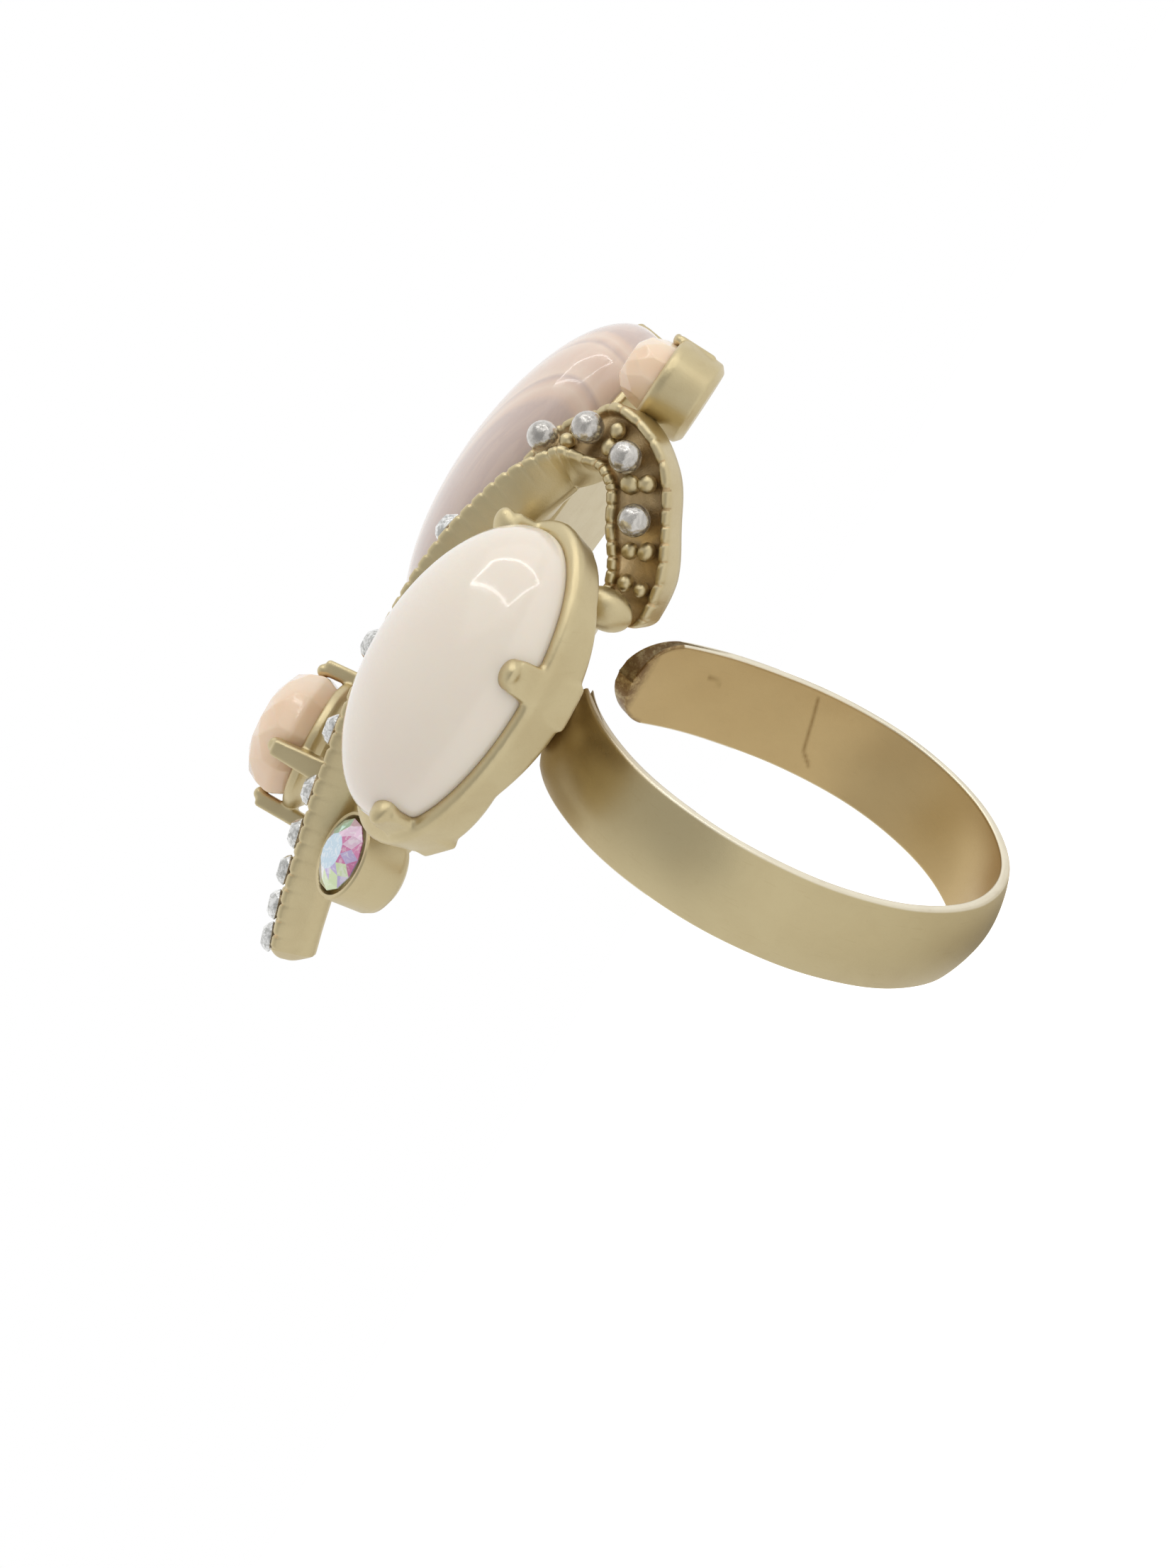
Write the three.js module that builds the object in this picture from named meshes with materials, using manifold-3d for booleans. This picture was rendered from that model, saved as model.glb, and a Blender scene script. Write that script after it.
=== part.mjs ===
// Adjustable cluster cocktail ring: an open springy band under a cast head of set stones.
// Millimetres. The finger runs along Y, the head is at +Z, the origin is the finger hole's centre.
import * as THREE from "three";
import { ConvexGeometry } from "three/addons/geometries/ConvexGeometry.js";
import { mergeVertices } from "three/addons/utils/BufferGeometryUtils.js";
import Module from "manifold-3d";

const wasm = await Module();
wasm.setup();

// ---- driving dimensions ----
const FINGER_RADIUS = 8.9; // mean inner radius of the band
const OVALITY = 0.094; // the sprung band is an oval, long way through the head
const OVAL_TURN = 23.4; // degrees from +Z towards +X of the oval's long axis
const EGG = 0.0127; // the band is a little fuller towards the head
const BAND_WIDTH = 4.3;
const BAND_EDGE = 0.4; // thickness at the rims
const BAND_DOME = 0.5; // extra thickness along the middle
const SOLDERED_END = 20; // degrees from +Z towards +X
const FREE_END = 335; // degrees, the tip of the open end
const FREE_END_ROUND = 1.9; // length of the rounded tip
const FLEX_GAP = 0.3; // clearance where the flexing arm starts, at the bottom of the band
const CHANNEL_WALL = 0.45;
const CHANNEL_TROUGH = 0.55;
const CLEARANCE = 0.04; // between pieces that are soldered, glued or clamped

// ---- finishes ----
const GOLD = { color: 0xb9a77c, roughness: 0.38, metalness: 1 };
const WHITE_STONE = { color: 0xe6dad0, roughness: 0.18, metalness: 0 };
const AGATE = { color: 0xc7a89d, roughness: 0.2, metalness: 0 };
const PEACH = { color: 0xe8c2a2, roughness: 0.25, metalness: 0 };
const PEARL = { color: 0xbeb8b0, roughness: 0.25, metalness: 0.3 };
const CRYSTAL = { color: 0xe4e4e8, roughness: 0.05, metalness: 0 };

const ring = new THREE.Group();
const vec = (x, y, z) => new THREE.Vector3(x, y, z);
const rad = THREE.MathUtils.degToRad;

function addMesh(parent, name, geometry, finish) {
  const mesh = new THREE.Mesh(geometry, new THREE.MeshStandardMaterial(finish));
  mesh.name = name;
  parent.add(mesh);
  return mesh;
}

// A closed geometry as a manifold solid, moved by a matrix when one is given.
function solidOf(geometry, matrix = new THREE.Matrix4()) {
  const bare = new THREE.BufferGeometry();
  bare.setAttribute("position", geometry.getAttribute("position").clone());
  if (geometry.index) bare.setIndex(geometry.index.clone());
  const merged = mergeVertices(bare.applyMatrix4(matrix), 1e-4);
  const triVerts = new Uint32Array(merged.index.array);
  const vertProperties = merged.getAttribute("position").array;
  return new wasm.Manifold(new wasm.Mesh({ numProp: 3, vertProperties, triVerts }));
}

function geometryOf(solid) {
  const mesh = solid.getMesh();
  const geometry = new THREE.BufferGeometry();
  geometry.setAttribute("position", new THREE.BufferAttribute(mesh.vertProperties, 3));
  geometry.setIndex(new THREE.BufferAttribute(mesh.triVerts, 1));
  geometry.computeVertexNormals();
  return geometry;
}

const joined = (geometries) =>
  geometryOf(geometries.map((g) => solidOf(g)).reduce((all, one) => all.add(one)));

// A solid skinned over closed sections that all have the same number of points.
function loft(sections, cap) {
  const count = cap.length;
  const positions = sections.flat().flatMap((p) => [p.x, p.y, p.z]);
  const index = [];
  for (let s = 0; s + 1 < sections.length; s++) {
    for (let i = 0; i < count; i++) {
      const a = s * count + i;
      const b = s * count + ((i + 1) % count);
      index.push(a, b, b + count, a, b + count, a + count);
    }
  }
  const last = (sections.length - 1) * count;
  const reversed = THREE.ShapeUtils.isClockWise(cap);
  for (const face of THREE.ShapeUtils.triangulateShape(cap, [])) {
    const [a, b, c] = reversed ? face.reverse() : face;
    index.push(c, b, a, last + a, last + b, last + c);
  }
  const geometry = new THREE.BufferGeometry();
  geometry.setAttribute("position", new THREE.Float32BufferAttribute(positions, 3));
  geometry.setIndex(index);
  return signedVolume(geometry) < 0 ? turnedRound(geometry) : geometry;
}

function signedVolume(geometry) {
  const at = geometry.getAttribute("position");
  const corner = (i) => vec().fromBufferAttribute(at, geometry.index.getX(i));
  let sum = 0;
  for (let i = 0; i < geometry.index.count; i += 3) {
    sum += corner(i).dot(corner(i + 1).cross(corner(i + 2)));
  }
  return sum / 6;
}

function turnedRound(geometry) {
  const flipped = Array.from(geometry.index.array);
  for (let i = 0; i < flipped.length; i += 3) {
    [flipped[i + 1], flipped[i + 2]] = [flipped[i + 2], flipped[i + 1]];
  }
  return geometry.setIndex(flipped);
}

// A group whose +Z is the stone's normal and whose +X is its long axis.
function seat(centre, normal, along) {
  const up = normal.clone().normalize();
  const side = along.clone().addScaledVector(up, -along.dot(up)).normalize();
  const group = new THREE.Group();
  const basis = new THREE.Matrix4().makeBasis(side, up.clone().cross(side), up);
  group.setRotationFromMatrix(basis);
  group.position.copy(centre);
  ring.add(group);
  return group;
}

// A turned profile of [radius, height] points about Z, stretched to an oval.
function turned(profile, halfLength, halfWidth, steps) {
  const points = profile.map(([r, h]) => new THREE.Vector2(r, h));
  const geometry = new THREE.LatheGeometry(points, steps).rotateX(Math.PI / 2);
  geometry.scale(halfLength, halfWidth, 1);
  geometry.deleteAttribute("normal");
  geometry.deleteAttribute("uv");
  const merged = withoutSlivers(mergeVertices(geometry, 1e-4));
  return signedVolume(merged) < 0 ? turnedRound(merged) : merged;
}

// Drops the triangles that a pole on the axis has closed to a line.
function withoutSlivers(geometry) {
  const kept = [];
  const corners = geometry.index.array;
  for (let i = 0; i < corners.length; i += 3) {
    const [a, b, c] = corners.slice(i, i + 3);
    if (a !== b && b !== c && c !== a) kept.push(a, b, c);
  }
  return geometry.setIndex(kept);
}

// ---- stones ----
// A domed oval with a flat back, a rounded girdle at z = 0 and its top at z = dome.
function cabochon(halfLength, halfWidth, dome, base, steps = 32, rings = 9) {
  const profile = [
    [0, -base],
    [0.9, -base],
    [0.975, -base * 0.55],
  ];
  for (let i = 0; i < rings; i++) {
    const t = (i / rings) * (Math.PI / 2);
    profile.push([Math.cos(t), dome * Math.sin(t)]);
  }
  profile.push([0, dome]);
  return turned(profile, halfLength, halfWidth, steps);
}

// A rose-cut oval: flat table, one ring of crown facets, an upright girdle.
function roseCut(halfLength, halfWidth, crown, girdle, sides) {
  const points = [];
  const levels = [
    [0.9, -girdle, 0],
    [1, 0, 0],
    [0.95, crown * 0.4, 0],
    [0.52, crown, 0.5],
  ];
  for (const [size, height, turn] of levels) {
    for (let i = 0; i < sides; i++) {
      const a = ((i + turn) / sides) * 2 * Math.PI;
      points.push(vec(halfLength * size * Math.cos(a), halfWidth * size * Math.sin(a), height));
    }
  }
  return new ConvexGeometry(points);
}

// A small round brilliant with a table, a crown and a pointed back.
function brilliant(radius, crown, pavilion, sides = 8) {
  const points = [vec(0, 0, -pavilion)];
  for (let i = 0; i < sides; i++) {
    const a = (i / sides) * 2 * Math.PI;
    const b = ((i + 0.5) / sides) * 2 * Math.PI;
    points.push(vec(radius * Math.cos(a), radius * Math.sin(a), 0));
    points.push(vec(0.55 * radius * Math.cos(b), 0.55 * radius * Math.sin(b), crown));
  }
  return new ConvexGeometry(points);
}

// ---- the shank ----
// Inner radius of the band at an angle from +Z towards +X.
function bandRadius(angle) {
  const oval = OVALITY * Math.cos(2 * (angle - rad(OVAL_TURN)));
  return FINGER_RADIUS * (1 + oval + EGG * Math.cos(3 * angle));
}

// The band between two angles; the width closes to a round tip at the end angle when asked.
function bandArc(from, to, steps, roundTip) {
  const across = 8;
  const tipAngle = FREE_END_ROUND / FINGER_RADIUS;
  const outline = (halfWidth) => {
    const points = [];
    for (let i = 0; i <= across; i++) {
      const y = halfWidth * (1 - (2 * i) / across);
      const dome = BAND_DOME * (1 - ((2 * y) / BAND_WIDTH) ** 2);
      points.push([y, BAND_EDGE + dome]);
    }
    points.push([-halfWidth, 0], [halfWidth, 0]);
    return points;
  };
  const sections = [];
  for (let i = 0; i <= steps; i++) {
    const t = i / steps;
    const angle = from + (to - from) * (roundTip ? 1 - (1 - t) ** 1.5 : t);
    const left = Math.abs(to - angle) / tipAngle;
    const tip = roundTip && left < 1 ? Math.sqrt(1 - (1 - left) ** 2) : 1;
    const halfWidth = (BAND_WIDTH / 2) * Math.max(0.32, tip);
    const direction = vec(Math.sin(angle), 0, Math.cos(angle));
    sections.push(
      outline(halfWidth).map(([y, out]) =>
        direction.clone().multiplyScalar(bandRadius(angle) + out).setY(y),
      ),
    );
  }
  const cap = outline(BAND_WIDTH / 2).map(([y, out]) => new THREE.Vector2(y, out));
  return loft(sections, cap);
}

const flexAngle = FLEX_GAP / 2 / FINGER_RADIUS;
addMesh(ring, "shank_soldered_arm", bandArc(rad(SOLDERED_END), Math.PI - flexAngle, 40, false), GOLD);
addMesh(ring, "shank_free_arm", bandArc(Math.PI + flexAngle, rad(FREE_END), 40, true), GOLD);

// ---- the scroll: a channel that sweeps through the head and curls over at its far side ----
// Each station is the middle of the open face: place, the way it faces, width and depth.
const SCROLL = [
  { at: vec(3.2, -16.75, 15.65), face: vec(0.2, -0.45, 0.9), width: 1.5, depth: 1.5 },
  { at: vec(3.05, -16.1, 15.85), face: vec(0.2, -0.35, 0.93), width: 2.3, depth: 2 },
  { at: vec(2.95, -14.6, 16.3), face: vec(0.2, -0.25, 0.95), width: 2.6, depth: 2.1 },
  { at: vec(2.6, -12.2, 16.85), face: vec(0.17, -0.2, 0.97), width: 2.8, depth: 2.2 },
  { at: vec(1.8, -8.1, 17.7), face: vec(0.13, -0.2, 0.98), width: 3, depth: 2.3 },
  { at: vec(0.7, -3.1, 18.3), face: vec(0.02, -0.05, 1), width: 3, depth: 2.4 },
  { at: vec(-0.6, 2.45, 18.1), face: vec(-0.12, 0.1, 0.99), width: 3, depth: 2.7 },
  { at: vec(-1.35, 6.55, 17.1), face: vec(-0.15, 0.35, 0.92), width: 3, depth: 2.7 },
  { at: vec(-1.35, 9.6, 15.65), face: vec(0.15, 0.62, 0.77), width: 2.9, depth: 2.2 },
  { at: vec(-0.2, 10.77, 13.85), face: vec(0.855, 0.224, 0.452), width: 2.9, depth: 2 },
  { at: vec(0.78, 10.34, 12.28), face: vec(0.869, 0.285, 0.376), width: 2.9, depth: 1.9 },
  { at: vec(1.45, 8.6, 11.13), face: vec(0.916, 0.144, 0.264), width: 2.9, depth: 1.9 },
  { at: vec(2.0, 6.94, 10.23), face: vec(0.88, 0.1, 0.311), width: 2.7, depth: 1.9 },
  { at: vec(2.54, 4.78, 9.8), face: vec(0.9, 0.1, 0.25), width: 2.2, depth: 1.8 },
];

// Frames along the scroll: place, sideways, facing, width and depth.
const scrollPath = new THREE.CatmullRomCurve3(SCROLL.map((s) => s.at));
function scrollFrame(t) {
  const last = SCROLL.length - 1;
  const i = Math.min(Math.floor(t * last), last - 1);
  const blend = t * last - i;
  const from = SCROLL[i];
  const to = SCROLL[i + 1];
  const at = scrollPath.getPoint(t);
  const ahead = scrollPath.getTangent(t);
  const face = from.face.clone().lerp(to.face, blend);
  face.addScaledVector(ahead, -face.dot(ahead)).normalize();
  const side = ahead.clone().cross(face).normalize();
  const width = THREE.MathUtils.lerp(from.width, to.width, blend);
  const depth = THREE.MathUtils.lerp(from.depth, to.depth, blend);
  return { at, side, face, width, depth };
}

// Place of a point given across the channel and above its open face.
const onScroll = (frame, across, above) =>
  frame.at.clone().addScaledVector(frame.side, across).addScaledVector(frame.face, above);

function channelSection(width, depth) {
  const half = width / 2;
  const inner = half - CHANNEL_WALL;
  const foot = half - 0.15;
  return [
    [-half, -0.12],
    [-half + 0.12, 0],
    [-inner, 0],
    [-inner, -CHANNEL_TROUGH],
    [inner, -CHANNEL_TROUGH],
    [inner, 0],
    [half - 0.12, 0],
    [half, -0.12],
    [half, -depth + 0.5],
    [foot - 0.3, -depth],
    [-foot + 0.3, -depth],
    [-half, -depth + 0.5],
  ];
}

function scrollChannel(steps) {
  const sections = [];
  for (let i = 0; i <= steps; i++) {
    const frame = scrollFrame(i / steps);
    sections.push(
      channelSection(frame.width, frame.depth).map(([x, z]) => onScroll(frame, x, z)),
    );
  }
  const { width, depth } = scrollFrame(0);
  const cap = channelSection(width, depth).map(([x, z]) => new THREE.Vector2(x, z));
  return loft(sections, cap);
}
addMesh(ring, "scroll_channel", scrollChannel(84), GOLD);

// A small stone or bead set in the channel's trough at a place along it.
function setInScroll(name, along, across, lift, geometry, finish) {
  const frame = scrollFrame(along);
  const spot = seat(onScroll(frame, across, lift), frame.face, scrollPath.getTangent(along));
  return addMesh(spot, name, geometry, finish);
}

const RHINESTONE_RADIUS = 0.72;
const RHINESTONES = [0.085, 0.158, 0.21, 0.25, 0.286, 0.332, 0.392, 0.476];
RHINESTONES.forEach((along, i) => {
  const stone = brilliant(RHINESTONE_RADIUS, 0.38, 0.5);
  setInScroll(`rhinestone_${i + 1}`, along, 0, 0, stone, CRYSTAL);
});

const PEARL_RADIUS = 0.7;
const PEARLS = [0.588, 0.652, 0.738, 0.835];
PEARLS.forEach((along, i) => {
  const bead = new THREE.SphereGeometry(PEARL_RADIUS, 14, 10);
  const lift = PEARL_RADIUS - CHANNEL_TROUGH + CLEARANCE;
  setInScroll(`pearl_${i + 1}`, along, 0, lift, bead, PEARL);
});

// ---- settings ----
// A claw's section, as shares of its half width and of its thickness.
const CLAW_SECTION = [
  [-1, 0],
  [-0.6, 1],
  [0.6, 1],
  [1, 0],
];

// A closed-backed cup for an oval stone whose back lies at -base, tapering towards its own back.
function bezelCup(halfLength, halfWidth, base, height, wall, taper, lip, steps = 32) {
  const rim = 1 + wall / halfWidth;
  const floor = -base - CLEARANCE;
  const profile = [
    [0, floor],
    [1.01, floor],
    [1.01, lip],
    [rim, lip],
    [rim * taper, -height],
    [0, -height],
  ];
  return turned(profile, halfLength, halfWidth, steps);
}

// A claw that rises outside the girdle at an angle and folds over the stone's edge.
function claw(halfLength, halfWidth, angle, width, height, drop, reach) {
  const edge = vec(halfLength * Math.cos(angle), halfWidth * Math.sin(angle), 0);
  const out = vec(Math.cos(angle) / halfLength, Math.sin(angle) / halfWidth, 0).normalize();
  const across = vec(-out.y, out.x, 0);
  const section = (distance, z, halfWide, thick) =>
    CLAW_SECTION.map(([side, outward]) =>
      edge
        .clone()
        .addScaledVector(out, distance + outward * thick)
        .addScaledVector(across, side * halfWide)
        .setZ(z),
    );
  const rows = [
    section(-0.15, -drop, width / 2, 0.6),
    section(0.08, -0.2, width / 2, 0.62),
    section(0.06 - reach * 0.4, height * 0.75, width * 0.42, 0.55 + reach * 0.3),
    section(0.02 - reach, height, width * 0.25, 0.3 + reach * 0.7),
  ];
  const cap = CLAW_SECTION.map(([x, y]) => new THREE.Vector2(x, y));
  return loft(rows, cap);
}

// A solid with the stone that it holds cut out, with clearance all round.
function cutBy(geometry, stone, margin) {
  const grown = stone.clone();
  grown.computeBoundingBox();
  const size = grown.boundingBox.getSize(vec());
  grown.scale(1 + margin / size.x, 1 + margin / size.y, 1 + margin / size.z);
  return geometryOf(solidOf(geometry).subtract(solidOf(grown)));
}

// White cabochon in a four-claw basket.
const WHITE = { halfLength: 6.85, halfWidth: 4.75, dome: 3.4, base: 1.1 };
const whiteSeat = seat(vec(7.05, 1.45, 14.25), vec(0.487, 0.246, 0.84), vec(-0.45, 0.89, -0.1));
const whiteStone = cabochon(WHITE.halfLength, WHITE.halfWidth, WHITE.dome, WHITE.base);
const whiteBasket = joined([
  bezelCup(WHITE.halfLength, WHITE.halfWidth, WHITE.base, 2.5, 0.5, 0.95, -0.3),
  ...[-79, 24, 101, 204].map((angle) =>
    claw(WHITE.halfLength, WHITE.halfWidth, rad(angle), 2, 1.1, 2.7, 0.75),
  ),
]);
addMesh(whiteSeat, "white_cabochon", whiteStone, WHITE_STONE);
addMesh(whiteSeat, "white_basket", cutBy(whiteBasket, whiteStone, 2 * CLEARANCE), GOLD);

// Banded agate cabochon in a smooth cup with three small claws on its outer side.
const AGATE_STONE = { halfLength: 9, halfWidth: 6.1, dome: 3.5, base: 2 };
const agateSeat = seat(vec(-9.1, 2.95, 15.85), vec(-0.2, 0.06, 0.98), vec(0.03, 1, -0.07));
const agateStone = cabochon(
  AGATE_STONE.halfLength,
  AGATE_STONE.halfWidth,
  AGATE_STONE.dome,
  AGATE_STONE.base,
);
const agateCup = joined([
  bezelCup(AGATE_STONE.halfLength, AGATE_STONE.halfWidth, AGATE_STONE.base, 2.5, 0.3, 0.92, -1.4),
  ...[35, 90, 145].map((angle) =>
    claw(AGATE_STONE.halfLength, AGATE_STONE.halfWidth, rad(angle), 1.6, 0.9, 2.2, 0.6),
  ),
]);
addMesh(agateSeat, "agate_cabochon", agateStone, AGATE);
addMesh(agateSeat, "agate_cup", cutBy(agateCup, agateStone, 2 * CLEARANCE), GOLD);

// Upper peach stone in a box setting with one broad tab.
const upperSeat = seat(vec(-3.78, 12.71, 13.4), vec(-0.02, 0.05, 1), vec(0.893, 0.451, 0));
const upperStone = roseCut(2.1, 1.6, 1.6, 0.7, 10);
const upperBox = joined([
  bezelCup(2.15, 1.65, 0.7, 2.1, 0.35, 0.96, 0.12, 20),
  claw(2.15, 1.65, rad(90), 1.9, 0.4, 1.5, 0.1),
]);
addMesh(upperSeat, "upper_peach_stone", upperStone, PEACH);
addMesh(upperSeat, "upper_peach_box", cutBy(upperBox, upperStone, 2 * CLEARANCE), GOLD);

// Lower peach stone held high in four straight claws on a gallery rail.
const lowerSeat = seat(vec(-3.3, -10.2, 19.35), vec(-0.04, -0.08, 1), vec(-0.45, 0.89, 0));
const lowerStone = roseCut(2.95, 3.2, 1.75, 0.65, 10);
const lowerClaws = joined([
  bezelCup(2.75, 3.0, 0.65, 1.5, 0.4, 0.95, -0.55, 24),
  ...[-105, 2, 75, 178].map((angle) => claw(2.95, 3.2, rad(angle), 0.95, 0.55, 2.2, 0.1)),
]);
addMesh(lowerSeat, "lower_peach_stone", lowerStone, PEACH);
addMesh(lowerSeat, "lower_peach_claws", cutBy(lowerClaws, lowerStone, 2 * CLEARANCE), GOLD);

// Iridescent crystal in a deep round cup.
const CUP_RADIUS = 1.98;
const CUP_DEPTH = 2.4;
const cupSeat = seat(vec(5.65, -9.3, 14.9), vec(0.496, 0.126, 0.86), vec(0, 1, 0));
const cupWall = turned(
  [
    [0, -0.85],
    [1.6, -0.85],
    [1.72, 0],
    [CUP_RADIUS, 0],
    [CUP_RADIUS, -CUP_DEPTH + 0.5],
    [CUP_RADIUS - 0.5, -CUP_DEPTH],
    [0, -CUP_DEPTH],
  ],
  1,
  1,
  28,
);
addMesh(cupSeat, "crystal_cup", cupWall, GOLD);
addMesh(cupSeat, "crystal_stone", brilliant(1.62, 0.55, 0.75, 12), CRYSTAL);

// ---- the frame that carries the settings over the band ----
const BRIDGE = { fromX: -8.5, toX: 5.2, middleY: -0.75, endRadius: 2.25, bottom: 10.5, top: 11.5 };
const bridgeShape = new THREE.Shape();
const { endRadius } = BRIDGE;
bridgeShape.absarc(BRIDGE.fromX + endRadius, 0, endRadius, Math.PI / 2, (3 * Math.PI) / 2, false);
bridgeShape.absarc(BRIDGE.toX - endRadius, 0, endRadius, -Math.PI / 2, Math.PI / 2, false);
const bridge = new THREE.ExtrudeGeometry(bridgeShape, {
  depth: BRIDGE.top - BRIDGE.bottom,
  bevelEnabled: false,
  curveSegments: 12,
});
bridge.translate(0, BRIDGE.middleY, BRIDGE.bottom);
addMesh(ring, "head_bridge", bridge, GOLD);

// A round stem along a curve through hand-placed points, ending flush on the pieces that cut it.
function stem(name, points, radius, cutters) {
  const circle = new THREE.Shape();
  circle.absarc(0, 0, radius, 0, 2 * Math.PI, false);
  const tube = new THREE.ExtrudeGeometry(circle, {
    steps: 8 * (points.length - 1),
    curveSegments: 4,
    extrudePath: new THREE.CatmullRomCurve3(points),
  });
  let solid = solidOf(tube);
  for (const mesh of cutters) {
    mesh.updateWorldMatrix(true, false);
    solid = solid.subtract(solidOf(mesh.geometry, mesh.matrixWorld));
  }
  const [longest] = solid.decompose().sort((a, b) => b.volume() - a.volume());
  addMesh(ring, name, geometryOf(longest), GOLD);
}

// Each stem rises from the bridge to the back of what it carries.
const byName = (name) => ring.getObjectByName(name);
const bridgeMesh = byName("head_bridge");
const STEMS = [
  ["white_stem", [vec(3.6, -0.6, 11.2), vec(4.6, 0.1, 11.6), vec(5.6, 0.75, 12.2)], 1, "white_basket"],
  ["agate_stem", [vec(-6.6, -0.4, 11.2), vec(-7.4, 0.8, 12.2), vec(-8.1, 1.8, 13.6)], 1, "agate_cup"],
  ["scroll_stem", [vec(0.3, -0.8, 11.2), vec(0.1, -0.6, 13.5), vec(0.1, -0.4, 16.2)], 0.9, "scroll_channel"],
  [
    "lower_peach_stem",
    [vec(-2.2, -2.4, 11), vec(-3, -6.5, 12.8), vec(-3.3, -9.8, 15.6), vec(-3.3, -10.2, 18)],
    0.8,
    "lower_peach_claws",
  ],
  [
    "crystal_stem",
    [vec(2.2, -2.4, 11), vec(3, -5, 12.1), vec(3.9, -7.4, 12.9), vec(4.6, -8.6, 13.3)],
    0.7,
    "crystal_cup",
  ],
];
for (const [name, points, radius, carried] of STEMS) {
  stem(name, points, radius, [bridgeMesh, byName(carried)]);
}

export default ring;
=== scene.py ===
"""Adjustable cluster cocktail ring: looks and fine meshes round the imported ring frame."""
import math
import random

import bpy
from mathutils import Matrix, Vector
from mathutils.kdtree import KDTree


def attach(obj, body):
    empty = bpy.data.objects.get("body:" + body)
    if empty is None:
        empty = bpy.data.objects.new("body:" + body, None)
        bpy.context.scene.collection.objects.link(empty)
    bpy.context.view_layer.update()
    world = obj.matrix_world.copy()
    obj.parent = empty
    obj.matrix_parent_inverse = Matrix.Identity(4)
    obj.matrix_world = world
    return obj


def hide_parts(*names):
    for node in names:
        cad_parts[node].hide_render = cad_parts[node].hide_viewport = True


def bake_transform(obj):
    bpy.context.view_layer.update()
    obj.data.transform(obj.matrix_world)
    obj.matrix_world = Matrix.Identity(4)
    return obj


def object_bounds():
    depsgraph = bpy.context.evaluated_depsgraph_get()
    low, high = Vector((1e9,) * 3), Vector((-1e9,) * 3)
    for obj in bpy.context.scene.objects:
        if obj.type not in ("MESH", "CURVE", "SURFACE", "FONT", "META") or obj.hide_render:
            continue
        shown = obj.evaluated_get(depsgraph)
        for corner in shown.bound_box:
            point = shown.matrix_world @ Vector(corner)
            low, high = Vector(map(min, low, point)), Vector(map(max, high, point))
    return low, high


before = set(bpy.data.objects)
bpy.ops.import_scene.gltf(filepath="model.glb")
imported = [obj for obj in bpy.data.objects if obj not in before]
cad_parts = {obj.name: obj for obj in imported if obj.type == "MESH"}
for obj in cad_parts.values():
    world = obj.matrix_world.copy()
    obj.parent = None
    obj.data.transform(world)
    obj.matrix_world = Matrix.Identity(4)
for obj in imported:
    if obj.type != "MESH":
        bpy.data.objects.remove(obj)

CAD_BOUNDS = [list(map(float, corner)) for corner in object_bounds()]

bl_info = {
    "name": "Cluster Cocktail Ring",
    "version": (1, 0, 0),
    "blender": (4, 5, 0),
    "location": "View3D > Sidebar > Ring",
    "description": "Models an adjustable ring with a cast head of set stones",
    "category": "Add Mesh",
}

MM = 0.001
FIXED_BODY = "head_and_fixed_arm"

# The scroll's stations: the middle of its open face, the way it faces, its width and depth (mm).
SCROLL = [
    ((3.2, -16.75, 15.65), (0.2, -0.45, 0.9), 1.5, 1.5),
    ((3.05, -16.1, 15.85), (0.2, -0.35, 0.93), 2.3, 2.0),
    ((2.95, -14.6, 16.3), (0.2, -0.25, 0.95), 2.6, 2.1),
    ((2.6, -12.2, 16.85), (0.17, -0.2, 0.97), 2.8, 2.2),
    ((1.8, -8.1, 17.7), (0.13, -0.2, 0.98), 3.0, 2.3),
    ((0.7, -3.1, 18.3), (0.02, -0.05, 1.0), 3.0, 2.4),
    ((-0.6, 2.45, 18.1), (-0.12, 0.1, 0.99), 3.0, 2.7),
    ((-1.35, 6.55, 17.1), (-0.15, 0.35, 0.92), 3.0, 2.7),
    ((-1.35, 9.6, 15.65), (0.15, 0.62, 0.77), 2.9, 2.2),
    ((-0.2, 10.77, 13.85), (0.855, 0.224, 0.452), 2.9, 2.0),
    ((0.78, 10.34, 12.28), (0.869, 0.285, 0.376), 2.9, 1.9),
    ((1.45, 8.6, 11.13), (0.916, 0.144, 0.264), 2.9, 1.9),
    ((2.0, 6.94, 10.23), (0.88, 0.1, 0.311), 2.7, 1.9),
    ((2.54, 4.78, 9.8), (0.9, 0.1, 0.25), 2.2, 1.8),
]
RHINESTONES = [0.085, 0.158, 0.21, 0.25, 0.286, 0.332, 0.392, 0.476]
PEARLS = [0.588, 0.652, 0.738, 0.835]


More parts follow.
